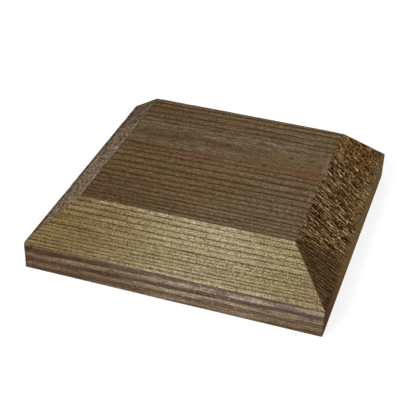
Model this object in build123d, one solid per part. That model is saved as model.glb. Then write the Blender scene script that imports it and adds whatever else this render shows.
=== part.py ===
from build123d import *
import os

# A wooden post cap: one block of solid timber that covers the sawn end of a square post.
# An upright edge runs round the underside, a bevel slopes in from it on every side, and the
# bevels meet in mitred hips below a flat top, so that rain runs off to the overhang.
# Lengths are in millimetres and +Z is up. The origin is the middle of the flat underside.
# The grain runs along X: the bevels that face -X and +X are end grain, and those that face
# -Y and +Y follow the grain.

# The post that the cap covers
post_width = 100.0  # along X
post_depth = 100.0  # along Y
overhang = 10.0  # how far the cap stands out past each face of the post

# The cap's section
edge_height = 12.0  # the upright edge below the bevels
bevel_rise = 16.0  # from the top of the upright edge to the flat top
end_bevel_run = 17.0  # level width of the two bevels cut across the grain
side_bevel_run = 17.0  # level width of the two bevels cut along the grain

# Edges are only just broken, as a fine sanding leaves them
arris_radius = 0.4  # between two outer faces
underside_radius = 0.6  # round the rim of the underside

cap_width = post_width + 2 * overhang
cap_depth = post_depth + 2 * overhang
cap_height = edge_height + bevel_rise


def bevelled_bar(section_plane, width, bevel_run, length):
    """A straight bar with upright edges, a bevel along each of them and a flat top.

    Its section lies in section_plane, and it reaches half its length to each side of it.
    """
    half_width = width / 2
    half_top = half_width - bevel_run
    right_side = [(half_width, 0), (half_width, edge_height), (half_top, cap_height)]
    left_side = [(-x, z) for x, z in reversed(right_side)]
    section = section_plane * Polygon(*right_side, *left_side, align=None)
    return extrude(section, amount=length / 2, both=True)


def rim_edges(solid, height):
    """The edges of the solid that lie level at the given height."""
    return solid.edges().filter_by_position(Axis.Z, height, height)


def make_post_cap():
    """The block that the end bevels and the side bevels leave, with its edges broken."""
    cut_across_grain = bevelled_bar(Plane.XZ, cap_width, end_bevel_run, cap_depth)
    cut_along_grain = bevelled_bar(Plane.YZ, cap_depth, side_bevel_run, cap_width)
    cap = cut_across_grain & cut_along_grain
    outer_arrises = cap.edges() - rim_edges(cap, 0)
    cap = fillet(outer_arrises, radius=arris_radius)
    return fillet(rim_edges(cap, 0), radius=underside_radius)


os.makedirs("parts", exist_ok=True)
post_cap = make_post_cap()
post_cap.label = "post_cap"
export_step(post_cap, "parts/post_cap.step")
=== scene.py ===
"""Looks of the wooden post cap: its sawn surfaces, its timber, the floor, the light and the camera.

The cap is one closed mesh. Its lengths are worked out in millimetres and written in metres.
The grain runs along X, so the faces towards -X and +X are end grain, which the saw has torn.
"""
import itertools
import math

import bpy
import numpy as np
from mathutils import Matrix, Vector


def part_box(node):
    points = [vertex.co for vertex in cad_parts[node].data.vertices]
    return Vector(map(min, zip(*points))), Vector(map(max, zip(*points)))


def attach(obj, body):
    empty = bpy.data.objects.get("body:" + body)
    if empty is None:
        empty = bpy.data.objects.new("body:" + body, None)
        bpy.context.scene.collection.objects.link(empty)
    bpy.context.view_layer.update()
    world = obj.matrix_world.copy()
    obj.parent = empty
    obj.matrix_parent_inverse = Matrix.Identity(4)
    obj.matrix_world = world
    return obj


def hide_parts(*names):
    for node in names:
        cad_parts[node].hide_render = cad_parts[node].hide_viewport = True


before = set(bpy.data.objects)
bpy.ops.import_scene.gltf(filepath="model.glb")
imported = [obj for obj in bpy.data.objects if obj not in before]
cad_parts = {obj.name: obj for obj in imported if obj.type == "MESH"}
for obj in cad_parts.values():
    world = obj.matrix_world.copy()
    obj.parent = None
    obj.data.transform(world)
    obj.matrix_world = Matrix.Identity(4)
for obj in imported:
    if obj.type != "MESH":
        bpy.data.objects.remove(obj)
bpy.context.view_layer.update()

MM = 0.001
low_corner, high_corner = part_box("post_cap")
HALF_X = (high_corner.x - low_corner.x) / MM / 2
HALF_Y = (high_corner.y - low_corner.y) / MM / 2
HEIGHT = (high_corner.z - low_corner.z) / MM
EDGE_HEIGHT = 12.0
BEVEL_RUN = 17.0
BEVEL_RISE = HEIGHT - EDGE_HEIGHT
BEVEL_LENGTH = math.hypot(BEVEL_RUN, BEVEL_RISE)
ARRIS_SOFTNESS = 0.25
UNDERSIDE_RADIUS = 0.4

# The mesh's cells
BEVEL_CELLS = 48
TOP_CELLS_ACROSS = 260
TOP_CELL_ALONG = 2.4
ARRIS_CELL = 0.35
ARRIS_GROWTH = 1.45
EDGE_ROWS = 26
RIM_ROWS = 3
UNDERSIDE_CELLS = 40
UNDERSIDE_MARGIN = 4.0
SIDES = 4
ON_SIDE = 0.9999999  # share of the half width from which a point counts as on that side

# The tree: rings about a pith line above the cap, nearly along X
PITH_Y = 12.0
PITH_Z = 61.0
GRAIN_SLOPE = 0.016
# Radius at which each year's ring ends. Some years grew narrower than others.
RING_ENDS = (
    29.0, 31.9, 34.2, 35.2, 36.5, 38.7, 41.5, 43.7, 46.8, 49.1, 51.3, 53.9, 56.3, 58.2, 60.2, 62.3,
    64.3, 66.0, 68.1, 70.6, 72.6, 74.6, 76.9, 78.0, 79.2, 80.6, 82.0, 83.3, 84.5, 86.0, 88.5, 90.9,
    93.2, 95.5,
)
SMOOTH_RADIUS = 60.0  # beyond this radius the saw cut the end grain cleanly
COMB_STEP = 1.9  # from one streak of the torn end grain to the next
# Bundles of torn fibre, and the finer ones between them
BUNDLE_WIDTH, FINE_WIDTH = 1.25, 0.85
RIGHT_LENGTH, LEFT_LENGTH = 4.5, 2.0
FINE_SHARE = 0.7  # of a bundle's length
CELL_SCATTER = 0.42  # how far a bundle's middle strays from the middle of its cell
LEFT_NOISE = 40.0  # keeps the left end's noise clear of the right end's
# How far the torn fibres lean to the back for each millimetre down the bevel
LEFT_LEAN = 0.45
RIGHT_LEAN = 0.3  # at the front of the right end, from where it dies out towards the back
UPRIGHT_FROM, LEANING_FROM = 20.0, -40.0

# Depths below the flat of each face
GRAIN_GROOVE = 0.10
TORN_DEPTH = 0.85
SAWN_DEPTH = 0.16
ARRIS_WEAR = 0.14
TEETH_DEPTH = 0.45
NICKS = ((-58.6, 9.6, 0.65), (-57.0, 10.6, 0.5))  # X, Z and radius of dents in the front edge
NICK_DEPTH = 0.5
DEEPEST = 1.3  # sum of the fibres' shares that counts as full depth
UNWORN_BELOW = 0.01  # the flat underside keeps its place


# Smooth random fields

def lattice_values(cells, seed):
    """One repeatable random number from -1 to 1 for each whole-number cell."""
    mixed = cells[..., 0] * 374761393 + cells[..., 1] * 668265263 + cells[..., 2] * 2246822519
    mixed = (mixed + seed * 3266489917) & 0xFFFFFFFF
    mixed = ((mixed ^ (mixed >> 15)) * 2246822519) & 0xFFFFFFFF
    mixed = ((mixed ^ (mixed >> 13)) * 3266489917) & 0xFFFFFFFF
    return ((mixed >> 8) & 0xFFFF) / 32767.5 - 1.0


def smooth_noise(a, b, c, seed):
    """A smooth random value from -1 to 1, with lumps about one unit across along a, b and c."""
    place = np.stack(np.broadcast_arrays(a, b, c), axis=-1).astype(float)
    cell = np.floor(place).astype(np.int64)
    part = place - cell
    part = part * part * (3 - 2 * part)
    total = np.zeros(place.shape[:-1])
    for step in itertools.product((0, 1), repeat=3):
        step = np.array(step)
        weight = np.prod(np.where(step == 1, part, 1 - part), axis=-1)
        total += weight * lattice_values(cell + step, seed)
    return total


def smooth_step(low, high, value):
    """0 up to low and 1 from high, smooth between them."""
    part = np.clip((value - low) / (high - low), 0, 1)
    return part * part * (3 - 2 * part)


def soft_minimum(a, b, softness):
    """The smaller of two values, rounded off where they come within the softness of each other."""
    overlap = np.clip(softness - np.abs(a - b), 0, None)
    return np.minimum(a, b) - overlap * overlap / (4 * softness)


# The closed surface of the cap

def bevel_offsets():
    """Steps in plan from the outer edge of a bevel to the rim of the flat top."""
    return np.linspace(0, BEVEL_RUN, BEVEL_CELLS + 1)


def lines_across():
    """Y of the mesh lines: even steps on the bevels and on the flat top."""
    offsets = bevel_offsets()
    inner = HALF_Y - BEVEL_RUN
    middle = np.linspace(-inner, inner, TOP_CELLS_ACROSS + 1)[1:-1]
    return np.concatenate([-HALF_Y + offsets, middle, HALF_Y - offsets[::-1]])


def lines_along():
    """X of the mesh lines: fine on the bevels, and wider with the distance from the top's edge."""
    offsets = bevel_offsets()
    inner = HALF_X - BEVEL_RUN
    steps = [ARRIS_CELL]
    while steps[-1] < TOP_CELL_ALONG:
        steps.append(steps[-1] * ARRIS_GROWTH)
    near = inner - np.cumsum(steps)
    count = round(2 * near[-1] / TOP_CELL_ALONG)
    middle = np.linspace(-near[-1], near[-1], count + 1)[1:-1]
    return np.concatenate([-HALF_X + offsets, -near, middle, near[::-1], HALF_X - offsets[::-1]])


def top_height(x, y):
    """Height of the flat top and the four bevels over a point of the plan."""
    grade = BEVEL_RISE / BEVEL_RUN
    over_x = EDGE_HEIGHT + (HALF_X - np.abs(x)) * grade
    over_y = EDGE_HEIGHT + (HALF_Y - np.abs(y)) * grade
    bevels = soft_minimum(over_x, over_y, ARRIS_SOFTNESS)
    rim = np.minimum(over_x, over_y) <= EDGE_HEIGHT
    return np.where(rim, EDGE_HEIGHT, soft_minimum(bevels, HEIGHT, ARRIS_SOFTNESS))


def ring_of(columns, rows):
    """Grid indices round the border of a grid, anticlockwise from its first corner."""
    south = [(i, 0) for i in range(columns - 1)]
    east = [(columns - 1, j) for j in range(rows - 1)]
    north = [(i, rows - 1) for i in range(columns - 1, 0, -1)]
    west = [(0, j) for j in range(rows - 1, 0, -1)]
    return south + east + north + west


def loop_fractions(points, half_x, half_y):
    """How far round its rectangle each point lies, as its side's number plus a share of that side."""
    x, y = points[:, 0] / half_x, points[:, 1] / half_y
    side = np.select([y <= -ON_SIDE, x >= ON_SIDE, y >= ON_SIDE], [0, 1, 2], 3)
    side = np.where((side == 0) & (x >= ON_SIDE), 1, side)
    side = np.where((side == 1) & (y >= ON_SIDE), 2, side)
    side = np.where((side == 2) & (x <= -ON_SIDE), 3, side)
    share = np.choose(side, [x, y, -x, -y])
    return side + (share + 1) / 2


class Surface:
    """Points, faces and the bake layout of the cap, before its surface is worn."""

    def __init__(self):
        self.points = []
        self.faces = []
        self.layouts = []
        self.count = 0

    def add_points(self, points):
        first = self.count
        self.points.append(np.asarray(points, float))
        self.count += len(points)
        return np.arange(first, self.count)

    def add_face(self, corners, layout):
        self.faces.append(tuple(int(c) for c in corners))
        self.layouts.append(layout)


# The bake layout, in millimetres on a square sheet: the top and bevels, four edge strips, the underside

SHEET = 176.0
SHEET_GAP = 1.2
UNDERSIDE_SHARE = 0.325


def unfolded(value, half):
    """A plan coordinate with the bevel's run stretched to its sloping length."""
    inner = half - BEVEL_RUN
    beyond = np.maximum(np.abs(value) - inner, 0)
    return np.sign(value) * (np.minimum(np.abs(value), inner) + beyond * BEVEL_LENGTH / BEVEL_RUN)


def top_layout(point):
    half_net = HALF_X - BEVEL_RUN + BEVEL_LENGTH
    u = SHEET_GAP + half_net + unfolded(point[0], HALF_X)
    v = SHEET_GAP + half_net + unfolded(point[1], HALF_Y)
    return u / SHEET, v / SHEET


def strip_layout(side):
    """The layout of one upright side: 0 front and 2 back lie level, 1 right and 3 left stand."""
    net = 2 * (HALF_X - BEVEL_RUN + BEVEL_LENGTH) + 2 * SHEET_GAP
    start = net + (EDGE_HEIGHT + SHEET_GAP) * (side // 2) + SHEET_GAP

    def place(point):
        if side % 2 == 0:
            return (SHEET_GAP + HALF_X + point[0]) / SHEET, (start + point[2]) / SHEET
        return (start + point[2]) / SHEET, (SHEET_GAP + HALF_Y + point[1]) / SHEET

    return place


def underside_layout(point):
    middle = SHEET - SHEET_GAP - HALF_X * UNDERSIDE_SHARE
    return (middle + point[0] * UNDERSIDE_SHARE) / SHEET, (middle + point[1] * UNDERSIDE_SHARE) / SHEET


def add_top(surface):
    """The flat top and the four bevels as one grid. Returns the points round its border."""
    xs, ys = lines_along(), lines_across()
    grid_x, grid_y = np.meshgrid(xs, ys, indexing="ij")
    points = np.stack([grid_x, grid_y, top_height(grid_x, grid_y)], axis=-1)
    index = surface.add_points(points.reshape(-1, 3)).reshape(len(xs), len(ys))
    last_x, last_y = len(xs) - 2, len(ys) - 2
    for i, j in itertools.product(range(last_x + 1), range(last_y + 1)):
        a, b, c, d = index[i, j], index[i + 1, j], index[i + 1, j + 1], index[i, j + 1]
        from_x, from_y = min(i, last_x - i), min(j, last_y - j)
        on_hip = from_x == from_y and from_x < BEVEL_CELLS
        if not on_hip:
            surface.add_face((a, b, c, d), top_layout)
        elif (i == from_x) == (j == from_y):
            surface.add_face((a, b, c), top_layout)
            surface.add_face((a, c, d), top_layout)
        else:
            surface.add_face((a, b, d), top_layout)
            surface.add_face((b, c, d), top_layout)
    return [index[i, j] for i, j in ring_of(len(xs), len(ys))]


def add_edge(surface, border):
    """The upright edge and the rounded rim of the underside, down from the bevels' border."""
    plan = np.concatenate(surface.points)[border][:, :2]
    levels = [(z, 0.0) for z in np.linspace(EDGE_HEIGHT, UNDERSIDE_RADIUS, EDGE_ROWS + 1)[1:]]
    for angle in np.linspace(0, math.pi / 2, RIM_ROWS + 1)[1:]:
        inset = UNDERSIDE_RADIUS * (1 - math.cos(angle))
        levels.append((UNDERSIDE_RADIUS * (1 - math.sin(angle)), inset))
    fractions = loop_fractions(plan, HALF_X, HALF_Y)
    sides = np.floor(fractions).astype(int)
    layouts = [strip_layout(side) for side in range(SIDES)]
    above = np.array(border)
    for z, inset in levels:
        shrink = np.array([1 - inset / HALF_X, 1 - inset / HALF_Y])
        ring = np.column_stack([plan * shrink, np.full(len(plan), z)])
        below = surface.add_points(ring)
        for k in range(len(border)):
            n = (k + 1) % len(border)
            surface.add_face((above[k], below[k], below[n], above[n]), layouts[sides[k]])
        above = below
    return above, fractions


def add_underside(surface, rim, rim_fractions):
    """The flat underside: a coarse grid, joined to the fine rim by a strip of triangles."""
    half_x, half_y = HALF_X - UNDERSIDE_MARGIN, HALF_Y - UNDERSIDE_MARGIN
    xs = np.linspace(-half_x, half_x, UNDERSIDE_CELLS + 1)
    ys = np.linspace(-half_y, half_y, UNDERSIDE_CELLS + 1)
    grid_x, grid_y = np.meshgrid(xs, ys, indexing="ij")
    points = np.stack([grid_x, grid_y, np.zeros_like(grid_x)], axis=-1).reshape(-1, 3)
    index = surface.add_points(points).reshape(len(xs), len(ys))
    for i, j in itertools.product(range(UNDERSIDE_CELLS), repeat=2):
        corners = index[i, j], index[i, j + 1], index[i + 1, j + 1], index[i + 1, j]
        surface.add_face(corners, underside_layout)
    inner = [index[i, j] for i, j in ring_of(len(xs), len(ys))]
    placed = np.array([points[k - index[0, 0]] for k in inner])
    inner_fractions = loop_fractions(placed, half_x, half_y)
    outer_at, inner_at = np.append(rim_fractions, SIDES), np.append(inner_fractions, SIDES)
    i = j = 0
    while i < len(rim) or j < len(inner):
        take_outer = j == len(inner) or (i < len(rim) and outer_at[i + 1] <= inner_at[j + 1])
        a, b = rim[i % len(rim)], inner[j % len(inner)]
        if take_outer:
            i += 1
            surface.add_face((a, b, rim[i % len(rim)]), underside_layout)
        else:
            j += 1
            surface.add_face((a, b, inner[j % len(inner)]), underside_layout)


def build_surface():
    surface = Surface()
    border = add_top(surface)
    rim, fractions = add_edge(surface, border)
    add_underside(surface, rim, fractions)
    return surface


# What time and the saw did to it

def tree_radius(place):
    """Distance of each point from the pith, with the slow waver of real rings."""
    x, y, z = place.T
    from_pith_y = y - PITH_Y - GRAIN_SLOPE * x
    from_pith_z = z - PITH_Z
    waver = 0.55 * smooth_noise(x / 55, y / 30, z / 30, 1)
    waver += 0.09 * smooth_noise(x / 16, y / 7, z / 7, 2)
    return np.hypot(from_pith_y, from_pith_z) + waver


def ring_number(radius):
    """How many rings lie inside a radius: whole numbers at the end of each year's growth."""
    return np.interp(radius, RING_ENDS, np.arange(len(RING_ENDS)))


def latewood(rings):
    """1 in the dark late growth that ends each ring, 0 in the pale early growth."""
    share = rings - np.floor(rings)
    return smooth_step(0.5, 0.9, share) * (1 - smooth_step(0.95, 1.0, share))


def end_share(normal):
    """1 on the faces that cut across the grain, 0 on those that follow it."""
    return smooth_step(0.25, 0.6, np.abs(normal[:, 0]))


def picked(values, cells):
    """What each point has from its own choice among the cells round it."""
    return np.take_along_axis(values, cells, axis=0)[0]


def fibre_cells(across, down, seed):
    """Cells like bundles of fibre: distance from a cell's border, its own level and its tilt."""
    base_across, base_down = np.floor(across), np.floor(down)
    distances, levels, offsets = [], [], []
    for step_across, step_down in itertools.product((-1, 0, 1), repeat=2):
        corner = base_across + step_across, base_down + step_down, np.zeros_like(base_across)
        cell = np.stack(corner, axis=-1).astype(np.int64)
        middle_across = cell[..., 0] + 0.5 + CELL_SCATTER * lattice_values(cell, seed)
        middle_down = cell[..., 1] + 0.5 + CELL_SCATTER * lattice_values(cell, seed + 1)
        distances.append(np.hypot(across - middle_across, down - middle_down))
        levels.append(lattice_values(cell, seed + 2))
        offsets.append(across - middle_across)
    distances, levels, offsets = np.array(distances), np.array(levels), np.array(offsets)
    order = np.argsort(distances, axis=0)
    first, second = order[:1], order[1:2]
    border = picked(distances, second) - picked(distances, first)
    return border, picked(levels, first), picked(offsets, first)


def end_place(place):
    """Whether a point is on the right end, its way down the bevel's slope and its end's noise."""
    x, _, z = place.T
    right = x > 0
    return right, (HEIGHT - z) * BEVEL_LENGTH / BEVEL_RISE, np.where(right, 0.0, LEFT_NOISE)


def torn_share(place, normal, radius):
    """How torn the end grain is, from 0 to 1."""
    right, down, side = end_place(place)
    y, z = place[:, 1], place[:, 2]
    upright = 1 - smooth_step(0.3, 0.55, normal[:, 2])
    ragged = radius + 3 * smooth_noise(y / 5, down / 5, side, 12)
    rough = 1 - smooth_step(SMOOTH_RADIUS - 4, SMOOTH_RADIUS + 7, ragged)
    torn = np.where(right, 0.22 + 0.78 * rough, 0.34) * (1 - 0.8 * upright)
    strip = EDGE_HEIGHT + 1.0 + 0.8 * smooth_noise(y / 2.5, 0, side, 14)
    return torn * (0.2 + 0.8 * smooth_step(strip - 1.0, strip + 0.8, z))


def fibre_relief(place):
    """How deep each spot among the fibres lies, from 0 to 1, and how much of that is open gap."""
    right, down, side = end_place(place)
    y = place[:, 1]
    sway = 0.6 * smooth_noise(y / 9, down / 9, side, 11) + 0.25 * smooth_noise(y / 3, down / 5, side, 10)
    right_lean = RIGHT_LEAN * (1 - smooth_step(LEANING_FROM, UPRIGHT_FROM, y))
    across = y - np.where(right, right_lean, LEFT_LEAN) * down + sway
    length = np.where(right, RIGHT_LENGTH, LEFT_LENGTH)
    border, level, offset = fibre_cells(across / BUNDLE_WIDTH + side, down / length, 13)
    fine_down = down / (length * FINE_SHARE) + 7
    fine_border, fine_level = fibre_cells(across / FINE_WIDTH + side, fine_down, 17)[:2]
    open_along = smooth_step(-0.35, 0.5, smooth_noise(across / 1.6, down / 4, side, 21))
    open_gap = (1 - smooth_step(0.0, 0.3, border)) * open_along
    fine_gap = 1 - smooth_step(0.0, 0.3, fine_border)
    pull = smooth_step(0.35, 0.8, smooth_noise(across / 1.1, down / 8.0, side, 23))
    height = 0.32 * (0.5 + 0.5 * level) + 0.26 * np.clip(offset + 0.5, 0, 1)
    height += 0.12 * (0.5 + 0.5 * fine_level)
    sunk = 0.7 - height + 0.35 * open_gap + 0.12 * fine_gap + 0.55 * pull
    gap = np.clip(0.75 * open_gap + 0.35 * fine_gap + 0.8 * pull, 0, 1)
    return np.clip(sunk, 0, DEEPEST) / DEEPEST, gap


def arris_closeness(place):
    """1 on the outer edges of the cap and on the rim of the flat top, 0 a little away from them."""
    x, y, z = np.abs(place).T
    to_side_x, to_side_y = HALF_X - x, HALF_Y - y
    to_corner = np.hypot(to_side_x, to_side_y)
    to_shoulder = np.hypot(np.minimum(to_side_x, to_side_y), z - EDGE_HEIGHT)
    inner = np.maximum(x - (HALF_X - BEVEL_RUN), y - (HALF_Y - BEVEL_RUN))
    to_top_rim = np.hypot(inner, HEIGHT - z)
    nearest = np.minimum(np.minimum(to_corner, to_shoulder), to_top_rim)
    return 1 - smooth_step(0.0, 0.9, nearest)


def nick_share(place, normal):
    """1 in the middle of the dents in the front edge."""
    x, _, z = place.T
    front = smooth_step(0.6, 0.9, -normal[:, 1])
    share = np.zeros(len(place))
    for nick_x, nick_z, size in NICKS:
        share = np.maximum(share, np.exp(-((x - nick_x) ** 2 + (z - nick_z) ** 2) / size ** 2))
    return share * front


def long_relief(place, rings):
    """Depth on the faces that follow the grain: ring grooves, a slow swell and fine fibres."""
    x, y, z = place.T
    fibres = 0.5 + 0.5 * smooth_noise(x / 6, y / 0.8, z / 0.8, 25)
    swell = 0.04 * (1 + smooth_noise(x / 20, y / 2.2, z / 2.2, 21))
    return GRAIN_GROOVE * latewood(rings) + swell + 0.05 * fibres


def edge_wear(place, arris):
    """Depth of the worn edges, and of the teeth torn out of the right rim of the flat top."""
    x, y, z = place.T
    chips = smooth_step(0.2, 0.9, smooth_noise(x / 3.5, y / 2.5, z / 2.5, 31))
    past_rim = np.abs(y) > HALF_Y - BEVEL_RUN
    to_right_rim = np.hypot(HALF_X - BEVEL_RUN - x, HEIGHT - z) + 2 * past_rim
    teeth = smooth_step(0.0, 0.7, smooth_noise(x / 2.5, y / 0.9, z / 2.5, 33))
    teeth *= 1 - smooth_step(0.2, 1.5, to_right_rim)
    teeth *= 1 - 0.7 * smooth_step(0, 20, y)
    return ARRIS_WEAR * arris * (0.2 + chips) + TEETH_DEPTH * teeth


def vectors_of(items, name):
    """One vector of a mesh's vertices or normals in each row."""
    values = np.empty(len(items) * 3, np.float32)
    items.foreach_get(name, values)
    return values.reshape(-1, 3).astype(float)


def wear_surface(mesh, place):
    """Sinks each point to its real depth and stores what the timber's nodes read."""
    normal = vectors_of(mesh.vertex_normals, "vector")
    radius = tree_radius(place)
    rings = ring_number(radius)
    end = end_share(normal)
    torn = torn_share(place, normal, radius)
    sunk, gap = fibre_relief(place)
    arris = arris_closeness(place)
    nick = nick_share(place, normal)
    end_depth = (SAWN_DEPTH + (TORN_DEPTH - SAWN_DEPTH) * torn) * sunk * (0.45 + 0.55 * torn)
    depth = (1 - end) * long_relief(place, rings) + end * end_depth
    depth = depth + edge_wear(place, arris) + NICK_DEPTH * nick
    depth *= place[:, 2] > UNWORN_BELOW
    worn = place - normal * depth[:, None]
    low, high = np.array([-HALF_X, -HALF_Y, 0.0]), np.array([HALF_X, HALF_Y, HEIGHT])
    mesh.vertices.foreach_set("co", (np.clip(worn, low, high) * MM).ravel())
    fields = {
        "rings": rings,
        "end_grain": end,
        "torn": torn,
        "hollow": np.clip(gap * torn * end + nick, 0, 1),
        "arris": arris,
        "flat_x": place[:, 0],
        "flat_y": place[:, 1],
        "flat_z": place[:, 2],
        "facing_z": normal[:, 2],
    }
    for name, values in fields.items():
        attribute = mesh.attributes.new(name, "FLOAT", "POINT")
        attribute.data.foreach_set("value", values.astype(np.float32))
    mesh.update()


def make_cap():
    """The worn cap, laid out for the bake."""
    surface = build_surface()
    points = np.concatenate(surface.points)
    mesh = bpy.data.meshes.new("post_cap_timber")
    mesh.from_pydata(points.tolist(), [], surface.faces)
    mesh.shade_smooth()
    layer = mesh.uv_layers.new(name="OFBake")
    laid = zip(surface.faces, surface.layouts)
    sheet = [layout(points[corner]) for face, layout in laid for corner in face]
    layer.uv.foreach_set("vector", np.array(sheet, np.float32).ravel())
    wear_surface(mesh, vectors_of(mesh.vertices, "co"))
    mesh.validate()
    cap = bpy.data.objects.new("sawn_timber_cap", mesh)
    bpy.context.scene.collection.objects.link(cap)
    return cap


# Short forms for nodes

def colour(red, green, blue):
    """A colour for a node, from its display values out of 255."""
    channels = [value / 255 for value in (red, green, blue)]
    linear = [c / 12.92 if c <= 0.04045 else ((c + 0.055) / 1.055) ** 2.4 for c in channels]
    return (*linear, 1.0)


class Nodes:
    """The nodes of one material, or of the world."""

    def __init__(self, owner):
        owner.use_nodes = True
        self.tree = owner.node_tree
        self.tree.nodes.clear()

    def add(self, kind, inputs=None, **settings):
        node = self.tree.nodes.new(kind)
        for name, value in settings.items():
            setattr(node, name, value)
        for name, value in (inputs or {}).items():
            self.feed(node.inputs[name], value)
        return node

    def feed(self, socket, value):
        if isinstance(value, bpy.types.NodeSocket):
            self.tree.links.new(value, socket)
        else:
            socket.default_value = value

    def finish(self, kind, shader):
        self.feed(self.add(kind).inputs["Surface"], shader.outputs[0])

    def seen(self):
        """1 for the rays that show a thing, 0 for those that light other things."""
        rays = self.add("ShaderNodeLightPath").outputs
        shown = self.maths("MAXIMUM", rays["Is Camera Ray"], rays["Is Glossy Ray"])
        return self.maths("MAXIMUM", shown, rays["Is Transmission Ray"])

    def maths(self, operation, a, b=0.0, c=0.0):
        return self.add("ShaderNodeMath", {0: a, 1: b, 2: c}, operation=operation).outputs[0]

    def times(self, first, *others):
        for other in others:
            first = self.maths("MULTIPLY", first, other)
        return first

    def plus(self, first, *others):
        for other in others:
            first = self.maths("ADD", first, other)
        return first

    def less(self, value):
        return self.maths("SUBTRACT", 1.0, value)

    def linear(self, value, slope, start):
        """Start, plus slope for each unit of the value."""
        return self.maths("MULTIPLY_ADD", value, slope, start)

    def centred(self, noise):
        """Noise about 0.5, moved to lie about 0."""
        return self.maths("SUBTRACT", noise, 0.5)

    def swing(self, noise, amount):
        """A factor about 1 from noise about 0.5."""
        return self.linear(self.centred(noise), amount, 1.0)

    def step(self, low, high, value):
        """0 at low and 1 at high, smooth between them. Low may be the larger."""
        inputs = {"Value": value, "From Min": low, "From Max": high}
        if low > high:
            inputs = {"Value": value, "From Min": high, "From Max": low, "To Min": 1.0, "To Max": 0.0}
        return self.add("ShaderNodeMapRange", inputs, interpolation_type="SMOOTHSTEP").outputs["Result"]

    def band(self, value, start, full, fade, stop):
        """1 from full to fade, and 0 before start and after stop."""
        return self.times(self.step(start, full, value), self.step(stop, fade, value))

    def blend(self, share, a, b):
        """Number a where the share is 0, number b where it is 1."""
        return self.add("ShaderNodeMix", {0: share, 2: a, 3: b}, data_type="FLOAT").outputs[0]

    def mix(self, share, a, b, kind="MIX"):
        """Colour a where the share is 0, colour b where it is 1."""
        inputs = {0: share, 6: a, 7: b}
        return self.add("ShaderNodeMix", inputs, data_type="RGBA", blend_type=kind).outputs[2]

    def stained(self, base, shade, *shares):
        """The base colour, covered by a shade as far as the product of the shares goes."""
        return self.mix(self.times(*shares), base, colour(*shade))

    def shaded(self, base, value):
        """A colour made darker or brighter. The darker it gets, the stronger its hue."""
        factor = {0: value, 1: self.maths("POWER", value, 1.2), 2: self.maths("POWER", value, 1.6)}
        return self.mix(1.0, base, self.add("ShaderNodeCombineColor", factor).outputs[0], "MULTIPLY")

    def field(self, name):
        return self.add("ShaderNodeAttribute", attribute_name=name).outputs["Fac"]

    def split(self, place):
        return self.add("ShaderNodeSeparateXYZ", {0: place}).outputs

    def joined(self, x, y=0.0, z=0.0):
        return self.add("ShaderNodeCombineXYZ", {0: x, 1: y, 2: z}).outputs[0]

    def along(self, place, direction):
        """How far the place lies along a direction."""
        inputs = {0: place, 1: direction}
        return self.add("ShaderNodeVectorMath", inputs, operation="DOT_PRODUCT").outputs["Value"]

    def sized(self, place, sizes):
        """The place counted in these sizes along each of its axes."""
        scale = tuple(1 / size for size in sizes)
        return self.add("ShaderNodeVectorMath", {0: place, 1: scale}, operation="MULTIPLY").outputs[0]

    def noise(self, place, sizes, detail, roughness=0.5):
        """Noise about 0.5 with lumps of these sizes, in the units of the place."""
        inputs = {"Vector": self.sized(place, sizes), "Scale": 1.0, "Detail": detail, "Roughness": roughness}
        return self.add("ShaderNodeTexNoise", inputs).outputs["Fac"]

    def patches(self, place, sizes, low, high, detail=2):
        """Patches of these sizes: 0 where their noise is at low, 1 where it is at high."""
        return self.step(low, high, self.noise(place, sizes, detail))


# Timber

BUMP_STRENGTH = 0.8
BUMP_DEPTH = 0.14
SPECULAR = 0.03
CRACKED_RING = (21.8, 21.88, 21.95, 22.02)  # where in the count of rings the crack of the top starts and ends


class Spot:
    """What the timber's nodes share about each spot: its place before wear, its face and its grain."""

    def __init__(self, n):
        in_metres = n.add("ShaderNodeTexCoord").outputs["Object"]
        to_millimetres = {0: in_metres, "Scale": 1 / MM}
        self.place = n.add("ShaderNodeVectorMath", to_millimetres, operation="SCALE").outputs[0]
        self.x, self.y, self.z = n.field("flat_x"), n.field("flat_y"), n.field("flat_z")
        self.end_grain, self.torn = n.field("end_grain"), n.field("torn")
        self.hollow, self.arris = n.field("hollow"), n.field("arris")
        facing_up = n.field("facing_z")
        self.flat_top = n.step(0.82, 0.95, facing_up)
        self.upright = n.step(0.45, 0.3, facing_up)
        self.bevel = n.less(n.maths("MAXIMUM", self.flat_top, self.upright))
        self.right_side = n.step(-5, 5, self.x)
        self.back_part = n.step(14, 38, self.y)
        self.speckle = n.noise(self.place, (0.42, 0.32, 0.32), 1, 0.6)
        self.fibre = n.noise(self.place, (3.0, 0.42, 0.42), 2, 0.6)
        self.saw = n.noise(self.place, (0.9, 3.5, 3.5), 1)
        self.past_left = n.step(-45, -12, self.x)
        self.sparkle = n.linear(self.bevel, n.linear(self.past_left, 0.9, -0.2), 1.6)


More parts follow.
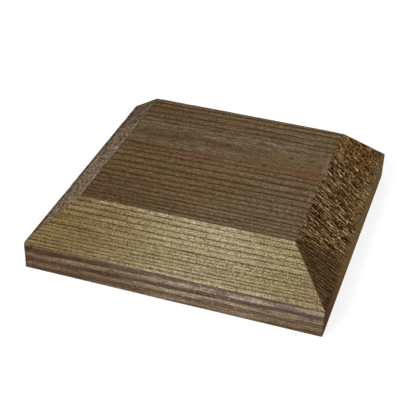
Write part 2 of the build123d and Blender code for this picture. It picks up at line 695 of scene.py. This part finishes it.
class Rings:
    """How dark the late growth of the rings is, from 0 to 1."""

    def __init__(self, n, spot):
        waver = n.times(n.centred(n.noise(spot.place, (9, 1.2, 1.2), 3)), 0.3)
        rings = n.plus(n.field("rings"), waver)
        share = n.maths("FRACT", rings)
        year = n.maths("FLOOR", rings)
        year_strength = n.linear(n.maths("SINE", n.times(year, 2.4)), 0.12, 0.84)
        sharper = n.linear(n.times(spot.bevel, n.step(17, 24, spot.z)), 1.3, 1.0)
        narrow = n.times(n.maths("POWER", n.step(0.5, 0.86, share), sharper), n.step(1.0, 0.94, share))
        self.wide = n.times(n.step(0.3, 0.62, share), n.step(1.0, 0.9, share))
        patches = n.patches(spot.place, (18, 2.5, 2.5), 0.3, 0.6, detail=1)
        late = n.blend(spot.upright, narrow, self.wide)
        late = n.times(late, year_strength, n.linear(patches, 0.35, 0.65))
        flat_cut = n.times(spot.flat_top, n.band(spot.y, 1, 5, 19, 23))
        self.late = n.times(late, n.linear(flat_cut, -0.85, 1.0))
        crack = n.times(n.band(rings, *CRACKED_RING), n.band(spot.x, -6, 4, 38, 44), 0.95)
        self.dark = n.maths("MAXIMUM", self.late, crack)


def long_texture(n, spot, calm_band):
    """Brightness of the fine grain on the faces that follow it, about 1."""
    streak = n.noise(spot.place, (45, 0.8, 0.8), 2, 0.6)
    blotch = n.noise(spot.place, (26, 8, 8), 2)
    thin_streak = n.noise(spot.place, (16, 0.42, 0.42), 1)
    fleck = n.times(n.centred(n.noise(spot.place, (1.5, 0.55, 0.55), 1)), spot.flat_top)
    fleck = n.times(fleck, n.less(n.times(calm_band, 0.35)))
    streaked = n.linear(spot.bevel, n.linear(n.step(-20, -45, spot.x), 0.4, 0.3), 0.5)
    value = n.linear(n.times(n.centred(spot.speckle), spot.sparkle), 1.6, 1.0)
    value = n.times(value, n.linear(fleck, 1.8, 1.0), n.swing(streak, streaked))
    value = n.times(value, n.swing(spot.fibre, 0.9), n.swing(blotch, 0.3), n.swing(spot.saw, 0.3))
    return n.times(value, n.swing(thin_streak, n.linear(spot.upright, 1.1, 0.5)))


def long_painted_light(n, spot, calm_band):
    """Painted light and shade on the faces that follow the grain: how much paler or darker each part is,
    about 1.
    """
    x, y, z = spot.x, spot.y, spot.z
    # Painted light: paler towards the right, darker towards the left end.
    painted_light_range = n.linear(spot.flat_top, -0.19, 0.34)
    value = n.linear(n.step(-34, 8, x), painted_light_range, n.linear(spot.flat_top, 0.17, 0.75))
    # Painted shade on parts of the bevels and of the flat top.
    low_right_painted_shade = n.times(n.step(10, 35, x), n.step(24, 13, z), 0.09)
    bevel_painted_shade = n.plus(n.times(n.step(24, 54, x), 0.06), low_right_painted_shade)
    back_painted_shade = n.times(n.step(-25, 35, y), n.linear(n.step(-5, 25, x), -0.07, 0.08))
    front_painted_shade = n.times(n.step(-12, -36, y), n.step(0, 30, x), 0.05)
    top_painted_shade = n.plus(back_painted_shade, front_painted_shade, n.times(calm_band, 0.05))
    # Painted shade low on the upright edges, painted light high on the front edge.
    low_painted_shade = n.times(spot.upright, n.step(5.0, 1.5, z))
    high_painted_light = n.times(spot.upright, n.step(7.5, 9.5, z), n.step(-28, -8, x))
    value = n.times(value, n.less(n.times(spot.bevel, bevel_painted_shade)))
    value = n.times(value, n.less(n.times(spot.flat_top, top_painted_shade)))
    # Painted light: the upright edges a little paler.
    value = n.times(value, n.linear(spot.upright, 0.07, 1.0))
    return n.times(value, n.linear(low_painted_shade, -0.1, 1.0), n.linear(high_painted_light, 0.16, 1.0))


def top_colour(n, spot):
    """Stains and weathering of the flat top."""
    place, x, y = spot.place, spot.x, spot.y
    top = n.mix(n.patches(place, (24, 3, 3), 0.35, 0.65), colour(103, 84, 52), colour(105, 84, 57))
    olive = n.patches(place, (9, 2.2, 2.2), 0.36, 0.6)
    top = n.stained(top, (84, 66, 38), n.band(y, 4, 9, 14, 20), n.step(30, 8, x), olive, 0.8)
    near_pale = n.times(n.band(y, 3.5, 6, 8.5, 11.5), n.step(22, -10, x), 0.8)
    pale_zone = n.plus(n.band(y, 15.5, 18, 22, 27), near_pale)
    pale = n.patches(place, (4, 0.6, 0.6), 0.44, 0.62)
    top = n.stained(top, (140, 122, 106), pale_zone, pale, n.step(42, 20, x), 0.85)
    mauve = n.patches(place, (16, 1.6, 1.6), 0.4, 0.65)
    top = n.stained(top, (112, 91, 76), n.step(8, 24, y), mauve, 0.4)
    near_red = n.times(n.band(y, -3.5, -0.5, 3, 6), n.step(-40, -28, x))
    right_red = n.times(n.band(y, 2, 4, 7, 10), n.step(20, 34, x))
    red = n.patches(place, (18, 1.6, 1.6), 0.36, 0.6)
    top = n.stained(top, (112, 78, 52), red, n.plus(near_red, right_red), 0.75)
    mauve_streaks = n.patches(place, (20, 0.9, 0.9), 0.5, 0.66)
    top = n.stained(top, (114, 94, 82), n.step(-22, -34, y), mauve_streaks, 0.65)
    top = n.stained(top, (109, 92, 71), n.step(0, 35, x), n.step(10, -20, y), 0.5)
    top = n.stained(top, (84, 63, 38), n.step(-12, -40, y), n.step(15, -32, x), 0.6)
    mottle = n.patches(place, (1.2, 1.6, 1.6), 0.4, 0.6, detail=1)
    rim = n.times(n.step(40.2, 42.2, x), n.band(y, -30, -10, 14, 34), n.linear(mottle, 0.3, 0.45))
    return n.mix(rim, top, n.mix(mottle, colour(96, 70, 50), colour(134, 110, 90)))


def top_dots(n, spot):
    """Small dark dots on the flat top, from 0 to 1."""
    inputs = {"Vector": n.sized(spot.place, (9, 6, 1)), "Scale": 1.0}
    cells = n.add("ShaderNodeTexVoronoi", inputs, voronoi_dimensions="2D").outputs
    random = n.add("ShaderNodeSeparateColor", {0: cells["Color"]}).outputs[0]
    size = n.linear(random, 0.12, 0.05)
    near = n.step(0.0, -0.09, n.maths("SUBTRACT", cells["Distance"], size))
    return n.times(near, n.step(0.58, 0.7, random), n.band(spot.y, -4, 0, 18, 24), spot.flat_top)


def bevel_colour(n, spot):
    """The fresh-cut bevels that follow the grain."""
    place, x, z = spot.place, spot.x, spot.z
    face = n.mix(n.patches(place, (14, 3, 3), 0.35, 0.65), colour(132, 115, 80), colour(143, 127, 92))
    face = n.stained(face, (144, 130, 98), n.band(x, -35, 0, 25, 60), 0.6)
    face = n.stained(face, (130, 111, 71), n.step(-30, -50, x), 0.5)
    orange = n.patches(place, (14, 0.9, 0.9), 0.48, 0.6)
    face = n.stained(face, (128, 98, 62), n.step(-30, -48, x), n.step(15, 24, z), orange, 0.7)
    # A pale broken line just under the top rim of the bevels.
    pale_broken_line = n.patches(place, (2.4, 1.0, 1.0), 0.47, 0.6)
    rim = n.times(n.step(25.6, 27.2, z), n.band(x, -42, -32, 5, 38))
    face = n.stained(face, (178, 164, 140), rim, pale_broken_line, 0.8)
    pale = n.patches(place, (7, 1, 1), 0.35, 0.55)
    return n.stained(face, (164, 148, 118), n.step(12.9, 12.3, z), n.step(-46, -36, x), pale, 0.6)


def edge_colour(n, spot, rings):
    """The upright edges that follow the grain."""
    place, x, z = spot.place, spot.x, spot.z
    streaked = n.linear(n.centred(n.noise(place, (14, 1.0, 1.0), 2)), 3.0, rings.wide)
    tan_share = n.times(n.step(0.75, 0.35, streaked), n.patches(place, (14, 5, 3), 0.34, 0.56, detail=1))
    face = n.mix(tan_share, colour(102, 84, 71), colour(126, 108, 84))
    face = n.stained(face, (78, 61, 50), rings.late, 0.6)
    flecks = n.patches(place, (1.6, 0.5, 0.5), 0.56, 0.7, detail=1)
    face = n.stained(face, (152, 134, 122), flecks, n.band(x, -50, -10, 25, 40), 0.6)
    face = n.stained(face, (112, 91, 66), n.step(5.5, 2.5, z), n.step(-30, 10, x), 0.5)
    face = n.stained(face, (122, 97, 85), n.step(6.5, 3.5, z), n.step(0, -35, x), 0.4)
    upper = n.step(9.6, 10.2, n.linear(x, 0.02, z))
    return n.stained(face, (122, 104, 68), n.step(-38, -48, x), upper, 0.85)


def long_grain(n, spot, rings):
    """Colour of the faces that follow the grain."""
    face = n.mix(spot.flat_top, bevel_colour(n, spot), top_colour(n, spot))
    face = n.mix(spot.upright, face, edge_colour(n, spot, rings))
    line = n.times(rings.dark, n.linear(spot.upright, -0.42, 0.7))
    line = n.maths("MAXIMUM", line, n.times(top_dots(n, spot), 0.5))
    calm_band = n.band(spot.y, -3, 6, 16, 26)
    # Grain texture, times painted light and shade.
    value = n.times(long_texture(n, spot, calm_band), long_painted_light(n, spot, calm_band))
    # Dark ring lines, and painted shade in the nicks and gaps.
    value = n.times(value, n.less(line), n.less(n.times(spot.hollow, 0.8)))
    face = n.stained(n.shaded(face, value), (58, 42, 22), line, 0.5)
    # Painted highlight: small pale glints, most of them on the bevels.
    painted_glints = n.patches(spot.place, (0.6, 0.45, 0.45), 0.56, 0.7, detail=1)
    painted_glints = n.times(painted_glints, n.linear(spot.bevel, 0.36, 0.14))
    return n.stained(face, (196, 180, 144), painted_glints, n.linear(spot.past_left, 0.6, 0.4))


def fibre_place(n, spot):
    """Where a spot of either end lies across its leaning fibres, down its bevel and out of it."""
    x, y, z = n.split(spot.place)
    either_end = n.joined(n.maths("ABSOLUTE", x), y, z)
    down_x, down_z = BEVEL_RUN / BEVEL_LENGTH, -BEVEL_RISE / BEVEL_LENGTH
    down = n.along(either_end, (down_x, 0.0, down_z))
    level = n.joined(y, down, n.along(either_end, (-down_z, 0.0, down_x)))
    right_lean = n.times(n.step(UPRIGHT_FROM, LEANING_FROM, spot.y), RIGHT_LEAN)
    lean = n.blend(spot.right_side, LEFT_LEAN, right_lean)
    sway = n.times(n.centred(n.noise(level, (5, 8, 8), 1)), 1.6)
    sway = n.joined(n.maths("SUBTRACT", sway, n.times(lean, down)))
    return n.add("ShaderNodeVectorMath", {0: level, 1: sway}, operation="ADD").outputs[0]


class Fibres:
    """The torn fibres of both ends: where a spot lies among them, and their noises."""

    def __init__(self, n, spot):
        self.place = fibre_place(n, spot)
        self.hairs = n.noise(self.place, (0.7, 2.6, 2.6), 1)
        self.crumbs = n.noise(self.place, (0.7, 1.0, 1.0), 2, 0.6)
        threads = n.centred(n.noise(self.place, (0.85, 10.0, 10.0), 2))
        bend = n.times(n.centred(n.noise(self.place, (2.5, 7.0, 7.0), 1)), 5.0)
        comb = n.maths("SINE", n.linear(n.split(self.place)[0], 2 * math.pi / COMB_STEP, bend))
        threads = n.linear(threads, n.linear(spot.torn, 0.6, 0.4), 0.5)
        self.combed = n.linear(comb, 0.09, threads)
        self.face_share = n.less(n.times(spot.upright, 0.8))
        self.front_share = n.less(n.times(spot.back_part, 0.4))
        crack = n.times(n.step(0.465, 0.41, self.combed), n.linear(spot.torn, 0.45, 0.4))
        self.crack = n.times(crack, self.face_share, self.front_share)


def right_colour(n, spot, fibres):
    """The right end: golden torn fibres, a clean brown triangle at the front and a darker edge."""
    place = fibres.place
    golden = n.patches(place, (1.1, 3.4, 3.4), 0.36, 0.64, detail=1)
    golden = n.mix(golden, colour(118, 91, 52), colour(150, 121, 75))
    pale = n.patches(place, (1.0, 3.0, 3.0), 0.56, 0.64, detail=1)
    golden = n.stained(golden, (150, 128, 92), pale, 0.45)
    rusty = n.patches(place, (1.2, 3.2, 3.2), 0.46, 0.38, detail=1)
    golden = n.stained(golden, (124, 80, 38), rusty, 0.5)
    golden = n.stained(golden, (124, 86, 38), spot.back_part, 0.5)
    face = n.mix(n.step(0.2, 0.7, spot.torn), colour(95, 73, 44), golden)
    above_edge = n.step(14.2, 12.6, n.linear(n.centred(fibres.crumbs), 4.0, spot.z))
    strip = n.mix(n.step(-50, -20, spot.y), colour(80, 60, 36), colour(134, 112, 74))
    face = n.mix(n.times(above_edge, 0.8), face, strip)
    edge = n.mix(n.step(-60, -15, spot.y), colour(88, 56, 15), colour(139, 109, 55))
    return n.mix(spot.upright, face, edge)


def right_value(n, spot, fibres):
    """Brightness of the right end: painted highlight on the ridges, painted shade in the cracks and hollows,
    and dark crumbs.
    """
    # Painted highlight on the raised ridges of fibre.
    ridge_painted_highlight = n.times(n.step(0.51, 0.58, fibres.combed), fibres.front_share, fibres.face_share)
    dark_rim = n.times(n.step(-24, -38, spot.y), n.step(18, 25, spot.z))
    ruggedness = n.times(n.linear(spot.torn, 0.8, 0.34), n.linear(spot.upright, -0.4, 1.0))
    crumbly = n.times(n.centred(fibres.crumbs), n.linear(spot.back_part, 0.2, 1.3))
    loose = n.times(n.plus(crumbly, n.centred(fibres.hairs)), ruggedness)
    hollow = n.times(spot.hollow, n.linear(spot.back_part, -0.25, 0.55))
    mottle = n.swing(n.noise(spot.place, (1.4, 1.4, 1.4), 2), n.times(spot.upright, 1.3))
    value = n.times(n.linear(ridge_painted_highlight, 0.57, 0.75), n.less(n.times(dark_rim, 0.16)), n.linear(loose, 3.7, 1.0))
    # Painted shade in the cracks and hollows.
    return n.times(value, n.less(fibres.crack), n.less(hollow), mottle)


def left_colour(n, spot):
    """The left end: brown, with a paler rim under the flat top."""
    base = n.mix(n.patches(spot.place, (3, 3, 3), 0.36, 0.64), colour(95, 76, 49), colour(121, 103, 82))
    rim = n.times(n.step(26.0, 27.4, spot.z), n.step(32, 14, spot.y))
    return n.stained(base, (134, 116, 98), rim, n.patches(spot.place, (3, 4, 3), 0.35, 0.6), 0.7)


def left_value(n, spot, fibres):
    """Brightness of the left end: fine grain and pits, painted shade low down, and darker towards the back.
    """
    grain = n.noise(fibres.place, (0.75, 2.4, 2.4), 2, 0.65)
    pits = n.patches(fibres.place, (0.8, 2.2, 2.2), 0.38, 0.3, detail=1)
    # Painted shade low down on the left end.
    high = n.maths("MAXIMUM", n.step(12.2, 17.0, spot.z), n.times(spot.upright, 0.8))
    pits = n.times(pits, fibres.face_share, 0.65)
    value = n.times(n.swing(grain, n.linear(spot.upright, -3.8, 6.3)), n.less(pits))
    return n.times(value, n.linear(high, 0.56, 0.5), n.linear(n.step(46, 8, spot.y), 0.4, 0.62))


def end_grain(n, spot, rings, fibres):
    """Colour of the two ends that cut across the grain."""
    face = n.mix(spot.right_side, left_colour(n, spot), right_colour(n, spot, fibres))
    value = n.blend(spot.right_side, left_value(n, spot, fibres), right_value(n, spot, fibres))
    value = n.times(value, n.less(n.times(rings.dark, n.linear(spot.upright, 0.22, 0.1))))
    glint = n.patches(fibres.place, (1.0, 1.4, 1.4), 0.66, 0.72, detail=1)
    glint = n.times(glint, n.step(0.3, 0.7, spot.torn), n.less(n.times(spot.hollow, 0.6)))
    return n.stained(n.shaded(face, value), (208, 186, 152), glint, 0.85)


def timber_material():
    """Rough sawn timber. Long grain and end grain have their own colours and relief; the arris has its own
    relief and painted shade.
    """
    material = bpy.data.materials.new("treated_timber")
    n = Nodes(material)
    spot = Spot(n)
    rings = Rings(n, spot)
    fibres = Fibres(n, spot)
    wood = n.mix(spot.end_grain, long_grain(n, spot, rings), end_grain(n, spot, rings, fibres))
    # Painted shade along the edges of the flat top and of the upright sides.
    wood = n.stained(wood, (64, 48, 30), spot.arris, n.less(spot.bevel), 0.3)
    long_height = n.plus(n.times(spot.fibre, 0.6), n.times(spot.speckle, spot.sparkle, 0.5))
    long_height = n.plus(long_height, n.times(rings.dark, -0.5), n.times(spot.saw, 0.2))
    end_height = n.plus(n.times(fibres.combed, 3.0), n.times(fibres.hairs, 1.6))
    end_height = n.plus(end_height, n.times(fibres.crumbs, 2.2), n.times(fibres.crack, -1.2))
    height = n.blend(spot.end_grain, long_height, end_height)
    relief = {"Strength": BUMP_STRENGTH, "Distance": BUMP_DEPTH * MM, "Height": height}
    bump = n.add("ShaderNodeBump", relief).outputs[0]
    inputs = {"Base Color": wood, "Roughness": n.linear(spot.fibre, 0.25, 0.6), "Normal": bump}
    shader = n.add("ShaderNodeBsdfPrincipled", inputs)
    shader.inputs["Specular IOR Level"].default_value = SPECULAR
    n.finish("ShaderNodeOutputMaterial", shader)
    return material


# Floor, light and camera

FLOOR_SIDE = 6.0
FLOOR_GREY = 0.8
FLOOR_SHOWN = 0.84
SHADOW_SHOWN = 0.25


def make_floor():
    """A white floor. The camera sees it as plain white, darkened a little by the cap's shadow."""
    half = FLOOR_SIDE / 2
    mesh = bpy.data.meshes.new("floor")
    corners = [(-half, -half, 0), (half, -half, 0), (half, half, 0), (-half, half, 0)]
    mesh.from_pydata(corners, [], [(0, 1, 2, 3)])
    floor = bpy.data.objects.new("floor", mesh)
    bpy.context.scene.collection.objects.link(floor)
    material = bpy.data.materials.new("white_floor")
    n = Nodes(material)
    plain = n.add("ShaderNodeBsdfDiffuse", {"Color": (FLOOR_GREY, FLOOR_GREY, FLOOR_GREY, 1)})
    shaded = n.add("ShaderNodeBsdfDiffuse", {"Color": (SHADOW_SHOWN, SHADOW_SHOWN, SHADOW_SHOWN, 1)})
    glow = n.add("ShaderNodeEmission", {"Strength": FLOOR_SHOWN})
    shown = n.add("ShaderNodeAddShader", {0: shaded.outputs[0], 1: glow.outputs[0]})
    choice = {0: n.seen(), 1: plain.outputs[0], 2: shown.outputs[0]}
    n.finish("ShaderNodeOutputMaterial", n.add("ShaderNodeMixShader", choice))
    mesh.materials.append(material)


AMBIENT = 0.30
LAMPS = [
    # name, azimuth from the front, elevation, share of full light, side of the lamp in metres
    ("key", -20.0, 36.0, 0.80, 0.35),
    ("fill", 78.0, 25.0, 0.18, 0.6),
    ("back", 200.0, 45.0, 0.22, 0.6),
]
LAMP_DISTANCE = 1.2


def outwards(azimuth, elevation):
    """The direction from the cap at these degrees right of the front and above the floor."""
    turn, lift = math.radians(azimuth), math.radians(elevation)
    return Vector((math.sin(turn) * math.cos(lift), -math.cos(turn) * math.cos(lift), math.sin(lift)))


def make_lamps():
    """Soft lamps. One with a full share lights a face turned to it as brightly as its colour says."""
    for name, azimuth, elevation, share, side in LAMPS:
        light = bpy.data.lights.new(name, "AREA")
        light.shape = "SQUARE"
        light.size = side
        light.energy = share * math.pi ** 2 * LAMP_DISTANCE ** 2
        lamp = bpy.data.objects.new(name, light)
        away = outwards(azimuth, elevation)
        lamp.location = away * LAMP_DISTANCE
        lamp.rotation_euler = away.to_track_quat("Z", "Y").to_euler()
        bpy.context.scene.collection.objects.link(lamp)


def make_world():
    """An even white sky, plain white to the camera and in reflections."""
    world = bpy.data.worlds.new("sky")
    bpy.context.scene.world = world
    n = Nodes(world)
    lighting = n.add("ShaderNodeBackground", {"Strength": AMBIENT})
    shown = n.add("ShaderNodeBackground", {"Strength": 1.0})
    choice = {0: n.seen(), 1: lighting.outputs[0], 2: shown.outputs[0]}
    n.finish("ShaderNodeOutputWorld", n.add("ShaderNodeMixShader", choice))


CAMERA_AZIMUTH = 16.62
CAMERA_ELEVATION = 33.70
CAMERA_ROLL = 2.69
CAMERA_DISTANCE = 0.4381
CAMERA_LENS = 92.95
CAMERA_SENSOR = 36.0
CAMERA_CLIP = (0.01, 20.0)
CAMERA_TARGET = (0.0001, -0.0138, 0.0140)


def make_camera():
    """The photograph's view: from the front, a little to the right, above, and slightly rolled."""
    data = bpy.data.cameras.new("camera")
    data.lens = CAMERA_LENS
    data.sensor_width = CAMERA_SENSOR
    data.clip_start, data.clip_end = CAMERA_CLIP
    camera = bpy.data.objects.new("camera", data)
    away = outwards(CAMERA_AZIMUTH, CAMERA_ELEVATION)
    camera.location = Vector(CAMERA_TARGET) + away * CAMERA_DISTANCE
    facing = away.to_track_quat("Z", "Y").to_matrix()
    camera.rotation_euler = (facing @ Matrix.Rotation(math.radians(CAMERA_ROLL), 3, "Z")).to_euler()
    bpy.context.scene.collection.objects.link(camera)
    bpy.context.scene.camera = camera


cap = make_cap()
cap.data.materials.append(timber_material())
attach(cap, "root")
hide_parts("post_cap")
make_floor()
make_lamps()
make_world()
make_camera()
bpy.context.scene.view_settings.view_transform = "Standard"
